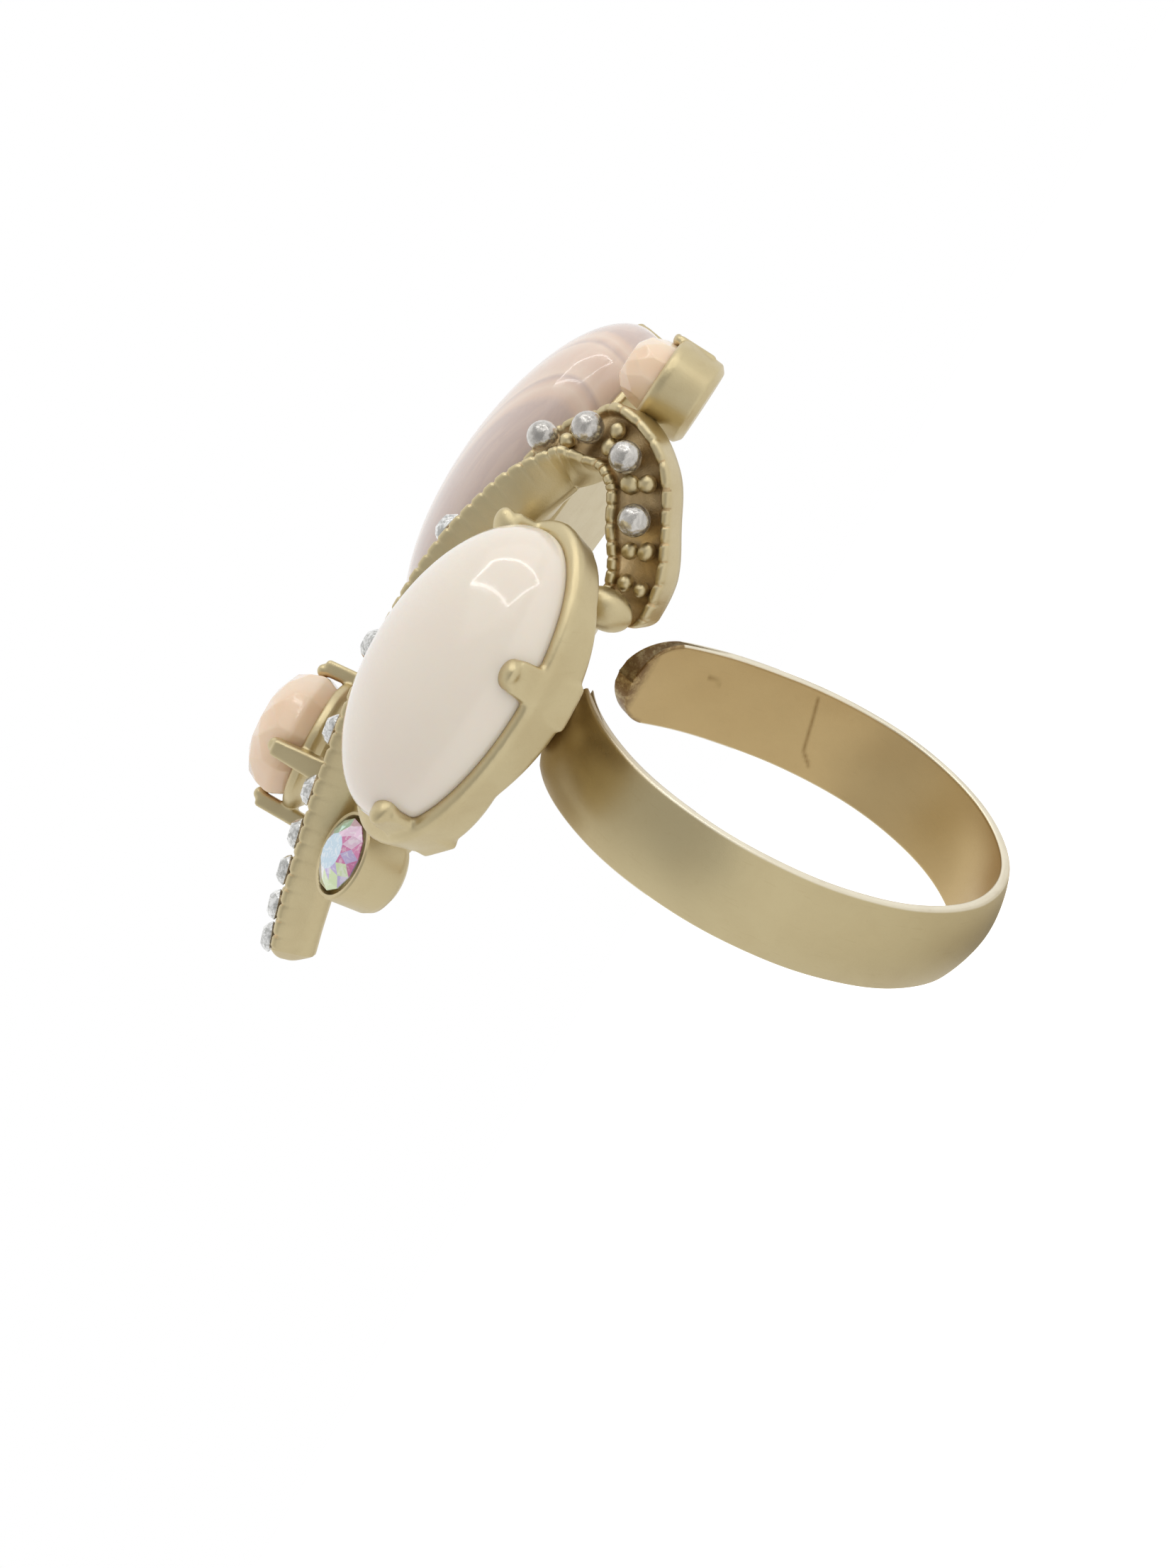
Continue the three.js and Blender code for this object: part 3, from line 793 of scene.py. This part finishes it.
class RING_OT_band(RingPiece, bpy.types.Operator):
    """Bend the open band from one strip, with a domed back and a worn round tip"""

    bl_idname = "ring.band"
    bl_label = "Band"

    def make(self, context):
        s = sizes()
        start, end = math.radians(s.soldered_end), math.radians(s.free_end)
        tip_angle = s.free_end_round / s.finger_radius
        half = s.band_width / 2
        soft = s.band_edge / 4
        sides = 60

        def radius(angle):
            oval = s.ovality * math.cos(2 * (angle - math.radians(s.oval_turn)))
            return s.finger_radius * (1 + oval + s.egg * math.cos(3 * angle))

        def edge_drop(y, wide):
            past = max(abs(y) - (wide - soft), 0) / soft
            return soft * (1 - math.sqrt(max(1 - past ** 2, 0)))

        def place(along, around):
            angle = start + (end - start) * along
            left = (end - angle) / tip_angle
            wide = half * (math.sqrt(1 - (1 - left) ** 2) if left < 1 else 1)
            wide = max(wide, 0.75 * soft) if left > 0 else 0.6 * soft
            turn = around * 2
            outer = turn < 1
            across = 1 - 2 * turn if outer else 2 * (turn - 1) - 1
            y = wide * math.sin(across * math.pi / 2)
            if outer:
                out = s.band_edge + s.band_dome * (1 - (y / half) ** 2) - edge_drop(y, wide)
            else:
                out = edge_drop(y, wide)
            dent = 0.018 * math.sin(angle * 9.0) * math.sin(y * 1.7 + angle * 4)
            reach = radius(angle) + out + dent
            return Vector((math.sin(angle) * reach, y, math.cos(angle) * reach))

        band = strip("band", 560, sides, place)
        in_edit(band, lambda: bpy.ops.mesh.remove_doubles(threshold=1e-3))
        # Both ends are still open rings: cap them.
        in_edit(
            band,
            lambda: bpy.ops.mesh.select_all(action="DESELECT"),
            lambda: bpy.ops.mesh.select_non_manifold(),
            lambda: bpy.ops.mesh.fill_holes(sides=0),
            lambda: bpy.ops.mesh.select_all(action="SELECT"),
            lambda: bpy.ops.mesh.normals_make_consistent(inside=False),
        )
        # The band's masks: the worn cut end, scratches with a painted shade by the head, the lining,
        # and a painted highlight on the rims.
        masks = ("cut_end", "scratches_and_shade", "lining", "edge")
        for mask in masks:
            band.data.attributes.new(mask, "FLOAT", "POINT")
        worn, scratches_and_shade, lining, edge = (band.data.attributes[mask] for mask in masks)
        for vertex in band.data.vertices:
            x, y, z = vertex.co
            angle = math.atan2(x, z) % (2 * math.pi)
            left = (end - angle) / tip_angle
            wide = half * math.sqrt(max(1 - (1 - min(left, 1)) ** 2, 0))
            rim = 1 - min(max((wide - abs(y)) / 0.22, 0), 1) if left < 1.15 else 0
            near = 1 - min(max((left - 0.12) / 0.3, 0), 1)
            worn.data[vertex.index].value = max(rim if left < 0.9 else 0, near)
            spot = Vector((math.degrees(angle) * math.radians(s.finger_radius), y))
            inside = math.hypot(x, z) < radius(angle) + soft
            lining.data[vertex.index].value = float(inside)
            # Painted highlight on the band's side walls, except near the tip.
            edge.data[vertex.index].value = float(abs(y) > wide - 0.05 and left > 0.9)
            scratch = self.scratch(spot) if inside else 0
            # Painted shade: the band is darkened next to the head, fully up to 22 degrees and fading
            # out by 67, where the head shades it.
            head_shade = 1 - min(max((math.degrees(angle) - 22) / 45, 0), 1)
            scratches_and_shade.data[vertex.index].value = max(scratch, 0.75 * head_shade ** 1.3)
        smooth(band, 50)
        set_down(band)
        finish(band, band_gold(), ("shank_soldered_arm", "shank_free_arm"), None)
        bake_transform(band)

    # Scratches inside the band: runs of (degrees, millimetres across).
    scratches = (
        ((310.5, 0.85), (306, 0.75)),
        ((275, 1.7), (273.5, 0.9), (270.5, -0.9), (267, -1.4)))

    def scratch(self, spot):
        """How strongly a place inside the band is scratched."""
        nearest = 9.0
        scale = math.radians(sizes().finger_radius)
        for run in self.scratches:
            points = [Vector((degrees * scale, across)) for degrees, across in run]
            for start, end in zip(points, points[1:]):
                along = end - start
                share = min(max((spot - start).dot(along) / along.length_squared, 0), 1)
                nearest = min(nearest, (spot - start - along * share).length)
        return 0.85 * max(1 - nearest / 0.13, 0)


class RING_OT_scroll(RingPiece, bpy.types.Operator):
    """Sweep the scroll's channel with milgrained rims along its twisting path"""

    bl_idname = "ring.scroll"
    bl_label = "Scroll channel"

    def make(self, context):
        s = sizes()
        length_steps = 620
        steps, total = even_steps(length_steps)
        beads = round(total / s.milgrain_pitch)
        arc = 7

        def section(width, depth, bead, trough):
            half = width / 2
            wall = s.channel_wall
            inner = half - wall
            radius = wall / 2 * (0.86 + 0.14 * bead)
            crest = -radius - 0.02 - 0.09 * (1 - bead)
            points = [(0, -depth), (-half * 0.6, -depth), (-half * 0.88, -depth + 0.1)]
            points += [(-half, -depth + 0.38), (-half, -depth * 0.6), (-half, -0.5)]
            for i in range(arc):
                a = math.pi * (1 - i / (arc - 1))
                points.append((-half + wall / 2 + radius * math.cos(a), crest + radius * math.sin(a)))
            points += [(-inner + 0.02, min(-0.3, 0.15 - trough)), (-inner + 0.12, -trough)]
            mirrored = [(-x, z) for x, z in reversed(points[1:])]
            return points + [(0, -trough - 0.04)] + mirrored

        around_steps = len(section(3, 2, 1, 0.5))
        frames = [scroll_frame(t) for t in steps]

        def place(along, around):
            i = round(along * length_steps)
            spot, side, face, _, width, depth = frames[i]
            from_notch = abs(along * beads - round(along * beads)) * s.milgrain_pitch
            bead = 1 - math.exp(-((from_notch / 0.085) ** 2))
            closing = min(min(along, 1 - along) * total / 1.1, 1)
            shape = section(width, depth, bead, 0.3 + (s.channel_trough - 0.3) * closing)
            x, z = shape[round(around * around_steps) % around_steps]
            ends = min(along, 1 - along) * total / 0.8
            if ends < 1:
                round_off = math.sqrt(max(1 - (1 - ends) ** 2, 0))
                middle = -depth / 2
                x *= round_off
                z = middle + (z - middle) * round_off
            return spot + side * x + face * z

        channel = strip("scroll_channel_cast", length_steps, around_steps, place)
        close_seams(channel, 2e-3)
        smooth(channel, 60)
        channel.data.materials.append(satin_gold())
        channel.data.materials.append(recess_gold())
        self.stain(channel, frames, beads)
        set_down(channel)
        finish(channel, None, ("scroll_channel",))
        self.grains()

    def stain(self, channel, frames, beads):
        """Gives the trough's floor and the notches of the rims the oxidised finish."""
        s = sizes()
        notches = beads / (len(frames) - 1)
        tree = KDTree(len(frames))
        for i, (spot, *_rest) in enumerate(frames):
            tree.insert(spot, i)
        tree.balance()
        for polygon in channel.data.polygons:
            centre = polygon.center
            _, i, _ = tree.find(centre)
            spot, side, face, _, width, _ = frames[i]
            across = abs((centre - spot).dot(side))
            above = (centre - spot).dot(face)
            inside = across < width / 2 - s.channel_wall + 0.02
            if inside and -s.channel_trough - 0.2 < above < -0.2:
                polygon.material_index = 1
            elif above > -0.24 and abs(i * notches - round(i * notches)) < 0.055:
                polygon.material_index = 1

    def grains(self):
        """Small cast nuggets between and beside the stones of the scroll."""
        s = sizes()
        draw = random.Random(7)
        grains = []
        spots = [
            (t + fore, across, 0.24)
            for t in RHINESTONES for fore in (-0.022, 0.022) for across in (-0.62, 0.62)]
        spots += [
            (t + draw.uniform(-0.005, 0.005), across, draw.uniform(0.4, 0.46))
            for t in (0.532, 0.621, 0.693, 0.787, 0.884, 0.936) for across in (-0.38, 0.38)]
        deselect()
        for t, across, size in spots:
            spot, side, face, ahead, _, _ = scroll_frame(t)
            where = spot + side * across + face * (-s.channel_trough + size * 0.62)
            bpy.ops.mesh.primitive_ico_sphere_add(subdivisions=2, radius=size, location=where)
            grain = bpy.context.active_object
            grain.scale = [draw.uniform(0.8, 1.15) for _ in range(3)]
            only(grain)
            bpy.ops.object.transform_apply(location=True, rotation=True, scale=True)
            grains.append(grain)
            deselect()
        nuggets = smooth(join("scroll_nuggets", grains))
        set_down(nuggets)
        finish(nuggets, satin_gold())


class RING_OT_pearls(RingPiece, bpy.types.Operator):
    """Set the grey pearl beads in the scroll"""

    bl_idname = "ring.pearls"
    bl_label = "Pearl beads"

    def make(self, context):
        s = sizes()
        material = grey_pearl()
        for i, t in enumerate(PEARLS):
            spot, _, face, ahead, _, _ = scroll_frame(t)
            pearl = smooth(ball(f"pearl_bead_{i + 1}", s.pearl_radius, 40, 24))
            lift = s.pearl_radius - s.channel_trough + 0.04
            set_down(pearl, seat_matrix(spot + face * lift, face, ahead))
            finish(pearl, material, (f"pearl_{i + 1}",))


class RING_OT_rhinestones(RingPiece, bpy.types.Operator):
    """Set the small clear stones in the scroll"""

    bl_idname = "ring.rhinestones"
    bl_label = "Rhinestones"

    def make(self, context):
        s = sizes()
        material = clear_crystal()
        levels = [(0.05, -0.5, 0), (1, -0.02, 0), (1, 0.03, 0), (0.8, 0.22, 0.5), (0.52, 0.4, 0)]
        for i, t in enumerate(RHINESTONES):
            spot, _, face, ahead, _, _ = scroll_frame(t)
            stone = faceted(
                f"rhinestone_cut_{i + 1}", levels, s.rhinestone_radius, s.rhinestone_radius, 8, 0.02)
            set_down(stone, seat_matrix(spot + face * 0.04, face, ahead))
            finish(stone, material, (f"rhinestone_{i + 1}",))


class RING_OT_white(RingPiece, bpy.types.Operator):
    """Model the white cabochon and its four-claw basket"""

    bl_idname = "ring.white"
    bl_label = "White cabochon"

    half_length, half_width, dome, base = 6.85, 4.75, 3.4, 1.1
    claws = (-79, 24, 101, 204)

    def make(self, context):
        seat = seat_matrix((7.05, 1.45, 14.25), (0.487, 0.246, 0.84), (-0.45, 0.89, -0.1))
        a, b = self.half_length, self.half_width
        stone = cabochon("white_stone", a, b, self.dome, self.base)
        set_down(stone, seat)
        finish(stone, white_resin(), ("white_cabochon",))
        wall = turned("white_wall", cup_profile(b, self.base, 2.5, 0.5, 0.95, -0.2), a, b)
        for vertex in wall.data.vertices:
            angle = math.degrees(math.atan2(vertex.co.y / b, vertex.co.x / a))
            away = min(abs((angle - at + 180) % 360 - 180) for at in self.claws)
            if vertex.co.z < -self.base - 0.1:
                vertex.co.z *= 1 - 0.2 * min(away / 38, 1) ** 2
        parts = [wall]
        for angle in self.claws:
            parts += claw(a, b, math.radians(angle), 1.9, 1.0, 2.5, 0.95, 0.52, 0.45, 0.15)
        basket = cast("white_basket_cast", parts, rounds=10)
        set_down(basket, seat)
        finish(basket, satin_gold(), ("white_basket",))


class RING_OT_agate(RingPiece, bpy.types.Operator):
    """Model the banded agate cabochon and its cup"""

    bl_idname = "ring.agate"
    bl_label = "Agate cabochon"

    half_length, half_width, dome, base = 9.0, 6.1, 3.5, 2.0

    def make(self, context):
        seat = seat_matrix((-9.1, 2.95, 15.85), (-0.2, 0.06, 0.98), (0.03, 1, -0.07))
        a, b = self.half_length, self.half_width
        stone = cabochon("agate_stone", a, b, self.dome, self.base)
        set_down(stone, seat)
        finish(stone, banded_agate(), ("agate_cabochon",))
        wall = turned("agate_wall", cup_profile(b, self.base, 2.5, 0.3, 0.92, -1.4), a, b)
        parts = [wall]
        for angle in (35, 90, 145):
            parts += claw(a, b, math.radians(angle), 1.5, 0.9, 2.2, 0.65, 0.5, 0.42, 0.3)
        cup = cast("agate_cup_cast", parts, 0.1)
        set_down(cup, seat)
        finish(cup, satin_gold(), ("agate_cup",))


def peach_levels(crown, girdle):
    """The peach stones' rings, with heights above the girdle as shares of the crown."""
    return [
        (0.9, -girdle, 0), (1, 0, 0), (1, crown * 0.12, 0), (0.94, crown * 0.42, 0),
        (0.8, crown * 0.78, 0.5), (0.5, crown, 0)]


class RING_OT_upper_peach(RingPiece, bpy.types.Operator):
    """Model the upper peach stone and its box setting with one broad tab"""

    bl_idname = "ring.upper_peach"
    bl_label = "Upper peach stone"

    def make(self, context):
        seat = seat_matrix((-3.78, 12.71, 13.4), (-0.02, 0.05, 1), (0.893, 0.451, 0))
        stone = faceted("upper_peach_cut", peach_levels(1.6, 0.7), 2.1, 1.6, 10, 0.06)
        set_down(stone, seat)
        finish(stone, peach_resin(), ("upper_peach_stone",))
        wall = turned("upper_wall", cup_profile(1.65, 0.7, 2.1, 0.35, 0.96, 0.14), 2.15, 1.65, 64)
        parts = [wall] + claw(2.15, 1.65, math.radians(90), 1.9, 0.4, 1.5, 0.3, 0.42, 0.2, 0.1)
        box = cast("upper_peach_box_cast", parts, 0.06, 5)
        set_down(box, seat)
        finish(box, satin_gold(), ("upper_peach_box",))


class RING_OT_lower_peach(RingPiece, bpy.types.Operator):
    """Model the lower peach stone, high in four straight claws"""

    bl_idname = "ring.lower_peach"
    bl_label = "Lower peach stone"

    def make(self, context):
        seat = seat_matrix((-3.3, -10.2, 19.35), (-0.04, -0.08, 1), (-0.45, 0.89, 0))
        stone = faceted("lower_peach_cut", peach_levels(1.75, 0.65), 2.95, 3.2, 10, 0.08)
        set_down(stone, seat)
        finish(stone, peach_resin(), ("lower_peach_stone",))
        wall = turned("lower_wall", cup_profile(3.0, 0.65, 1.5, 0.3, 0.95, -0.62), 2.75, 3.0, 96)
        parts = [wall]
        for angle in (-105, 2, 75, 178):
            parts += claw(2.95, 3.2, math.radians(angle), 1.0, 0.6, 2.1, 0.32, 0.72, 0.3, 0)
        claws = cast("lower_peach_claws_cast", parts, 0.07, 4)
        set_down(claws, seat)
        finish(claws, satin_gold(), ("lower_peach_claws",))


class RING_OT_crystal(RingPiece, bpy.types.Operator):
    """Model the iridescent crystal and its deep round cup"""

    bl_idname = "ring.crystal"
    bl_label = "Iridescent crystal"

    def make(self, context):
        s = sizes()
        seat = seat_matrix((5.65, -9.3, 14.9), (0.496, 0.126, 0.86), (0, 1, 0))
        levels = [(0.05, -0.75, 0), (1, 0, 0), (1, 0.05, 0), (0.78, 0.3, 0.5), (0.5, 0.52, 0)]
        stone = faceted("crystal_cut", levels, 1.62, 1.62, 12, 0)
        tints = [
            (0.55, 0.85, 0.68, 1), (0.55, 0.72, 0.85, 1), (0.9, 0.92, 0.95, 1), (0.72, 0.85, 0.5, 1),
            (0.6, 0.5, 0.8, 1), (0.7, 0.22, 0.45, 1), (0.86, 0.6, 0.78, 1)]
        draw = random.Random(3)
        tint = stone.data.color_attributes.new("facet_tint", "FLOAT_COLOR", "CORNER")
        for polygon in stone.data.polygons:
            side = math.atan2(polygon.center.y, polygon.center.x) / (2 * math.pi) + 0.5
            chosen = tints[int((side + 0.25) * len(tints) + draw.uniform(0, 1.6)) % len(tints)]
            for corner in polygon.loop_indices:
                tint.data[corner].color = chosen
        set_down(stone, seat)
        finish(stone, iridescent_crystal(), ("crystal_stone",))
        r, depth = s.cup_radius, s.cup_depth
        profile = [
            (0, -0.85), (1.62, -0.85), (1.74, -0.08), (1.79, 0), (r - 0.06, 0), (r, -0.07),
            (r, -depth + 0.6), (r - 0.12, -depth + 0.25), (r - 0.45, -depth), (0, -depth)]
        cup = smooth(turned("crystal_cup_turned", profile, 1, 1, 96), 40)
        set_down(cup, seat)
        finish(cup, satin_gold(), ("crystal_cup",))


class RING_OT_back(RingPiece, bpy.types.Operator):
    """Cast the bridge and its stems into one soft-edged back for the head"""

    bl_idname = "ring.back"
    bl_label = "Back of the head"

    names = (
        "head_bridge", "white_stem", "agate_stem", "scroll_stem", "lower_peach_stem", "crystal_stem")
    # Drops of solder: under the bridge on the band, and between the scroll's end and the basket.
    solder = (((3.6, 0, 10.25), (1.5, 1.7, 0.45)), ((3.1, 5.5, 10.5), (0.9, 0.9, 1.2)))

    def make(self, context):
        copies = []
        for name in self.names:
            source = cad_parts[name]
            copy = bpy.data.objects.new(name + "_copy", source.data.copy())
            context.collection.objects.link(copy)
            copy.matrix_world = Matrix.Scale(1 / MM, 4)
            only(copy)
            bpy.ops.object.transform_apply(location=True, rotation=True, scale=True)
            close_seams(copy)
            copies.append(copy)
        for place, radii in self.solder:
            drop = ball("solder", 1, 24, 12)
            drop.matrix_world = Matrix.Translation(place) @ Matrix.Diagonal((*radii, 1))
            only(drop)
            bpy.ops.object.transform_apply(location=True, rotation=True, scale=True)
            copies.append(drop)
        back = cast("head_back", copies, 0.1, 5)
        set_down(back)
        finish(back, satin_gold(), self.names)


class RING_OT_stage(RingPiece, bpy.types.Operator):
    """Set the floor, the soft studio light and the camera"""

    bl_idname = "ring.stage"
    bl_label = "Stage"

    # The camera's place (mm), and its turn about its line of sight.
    eye = Vector((188.12, 91.62, 7.69))
    sight = Vector((-0.89256, -0.45093, -0.001))
    roll = math.radians(-59.6)
    lens = 113.92
    # Corners of the window, as shares to the right, upwards and towards the camera.
    window = ((-0.389, 0.92, -0.042), (0.482, 0.747, 0.458), (-0.072, 0.692, 0.718),
              (-0.576, 0.815, 0.063))
    window_distance = 0.32
    bar_width = 0.01
    middle = Vector((0, 0, 0.012))

    def make(self, context):
        scene = context.scene
        level = Vector((0, 0, 1)).cross(-self.sight).normalized()
        above = (-self.sight).cross(level)
        right = level * math.cos(self.roll) + above * math.sin(self.roll)
        up = (-self.sight).cross(right)
        turn = Matrix((right, up, -self.sight)).transposed().to_4x4()
        camera = bpy.data.cameras.new("camera")
        camera.lens = self.lens
        camera.clip_start = 0.01
        camera.clip_end = 20
        eye = bpy.data.objects.new("camera", camera)
        scene.collection.objects.link(eye)
        eye.matrix_world = Matrix.Translation(self.eye * MM) @ turn
        scene.camera = eye
        scene.view_settings.view_transform = "Standard"
        self.floor()
        self.lights(scene, right, up)

    def floor(self):
        deselect()
        bpy.ops.mesh.primitive_circle_add(
            vertices=96, radius=0.6, fill_type="NGON", location=(0, 0, CAD_BOUNDS[0][2] - 0.0003))
        floor = bpy.context.active_object
        floor.name = "floor"
        only(floor)
        bpy.ops.object.transform_apply(location=True, rotation=True, scale=True)
        material, tree, shader = new_material("pale_floor")
        soft = noise(tree, millimetres(tree), 0.02, 2)
        tone = mixed(tree, soft, (0.8, 0.8, 0.8, 1), (0.84, 0.84, 0.84, 1))
        link(tree, tone, shader.inputs["Base Color"])
        shader.inputs["Emission Color"].default_value = (1, 1, 1, 1)
        # The floor glows: fully white to the camera, and faintly for every other ray, so it also
        # lights the ring.
        path = node(tree, "ShaderNodeLightPath")
        link(tree, sums(tree, "MAXIMUM", path.outputs["Is Camera Ray"], 0.15),
             shader.inputs["Emission Strength"])
        shader.inputs["Roughness"].default_value = 0.9
        floor.data.materials.append(material)

    def lights(self, scene, right, up):
        world = bpy.data.worlds.new("studio")
        scene.world = world
        world.use_nodes = True
        tree = world.node_tree
        background = tree.nodes["Background"]
        coordinates = node(tree, "ShaderNodeTexCoord")
        facing = node(tree, "ShaderNodeVectorMath", operation="DOT_PRODUCT")
        link(tree, coordinates.outputs["Generated"], facing.inputs[0])
        facing.inputs[1].default_value = -self.sight
        shade = stretch_range(tree, facing.outputs["Value"], -0.5, 0.9, 0.95, 0.46)
        path = node(tree, "ShaderNodeLightPath")
        strength = sums(tree, "MAXIMUM", shade, path.outputs["Is Camera Ray"])
        link(tree, strength, background.inputs["Strength"])
        background.inputs["Color"].default_value = (1, 1, 1, 1)
        towards = -self.sight
        corners = [
            (right * across + up * high + towards * near) * self.window_distance + self.middle
            for across, high, near in self.window]
        for i, corner in enumerate(corners):
            self.window_bar(f"window_bar_{i + 1}", corner, corners[(i + 1) % len(corners)])
        self.softbox("top", sum(corners, Vector()) / 4 - self.middle, 0.34, (0.45, 0.35), 0.19)
        self.softbox("side", right * 0.8 + towards * 0.5 + up * 0.1, 0.4, (0.25, 0.25), 0.17)

    def window_bar(self, name, start, end):
        """A thin bright bar of the window that shows in the polished stones."""
        along = (end - start).normalized()
        centre = (start + end) / 2
        away = centre - self.middle
        away = (away - along * away.dot(along)).normalized()
        light = bpy.data.lights.new(name, "AREA")
        light.shape = "RECTANGLE"
        light.size, light.size_y = (end - start).length, self.bar_width
        light.energy = 5 * math.pi * light.size * light.size_y
        lamp = bpy.data.objects.new(name, light)
        bpy.context.scene.collection.objects.link(lamp)
        turn = Matrix((along, away.cross(along), away)).transposed().to_4x4()
        lamp.matrix_world = Matrix.Translation(centre) @ turn

    def softbox(self, name, direction, distance, size, power):
        light = bpy.data.lights.new(name, "AREA")
        light.shape = "RECTANGLE"
        light.size, light.size_y = size
        light.energy = power
        lamp = bpy.data.objects.new(name, light)
        bpy.context.scene.collection.objects.link(lamp)
        direction = direction.normalized()
        lamp.location = direction * distance + self.middle
        lamp.rotation_euler = direction.to_track_quat("Z", "Y").to_euler()


class RING_PT_panel(bpy.types.Panel):
    """Lists the ring's sizes, colours and pieces"""

    bl_label = "Cocktail ring"
    bl_idname = "RING_PT_panel"
    bl_space_type = "VIEW_3D"
    bl_region_type = "UI"
    bl_category = "Ring"

    def draw(self, context):
        for group in (context.scene.ring_sizes, context.scene.ring_colours):
            box = self.layout.box()
            for name in group.__annotations__:
                box.prop(group, name)
        for operator in OPERATORS:
            self.layout.operator(operator.bl_idname)


OPERATORS = (
    RING_OT_stage, RING_OT_band, RING_OT_scroll, RING_OT_pearls, RING_OT_rhinestones,
    RING_OT_white, RING_OT_agate, RING_OT_upper_peach, RING_OT_lower_peach, RING_OT_crystal,
    RING_OT_back)
CLASSES = (RingSizes, RingColours) + OPERATORS + (RING_PT_panel,)


def register():
    for cls in CLASSES:
        bpy.utils.register_class(cls)
    bpy.types.Scene.ring_sizes = bpy.props.PointerProperty(type=RingSizes)
    bpy.types.Scene.ring_colours = bpy.props.PointerProperty(type=RingColours)


def unregister():
    del bpy.types.Scene.ring_colours
    del bpy.types.Scene.ring_sizes
    for cls in reversed(CLASSES):
        bpy.utils.unregister_class(cls)


def main():
    register()
    for operator in OPERATORS:
        group, name = operator.bl_idname.split(".")
        getattr(getattr(bpy.ops, group), name)()


if __name__ == "__main__":
    main()
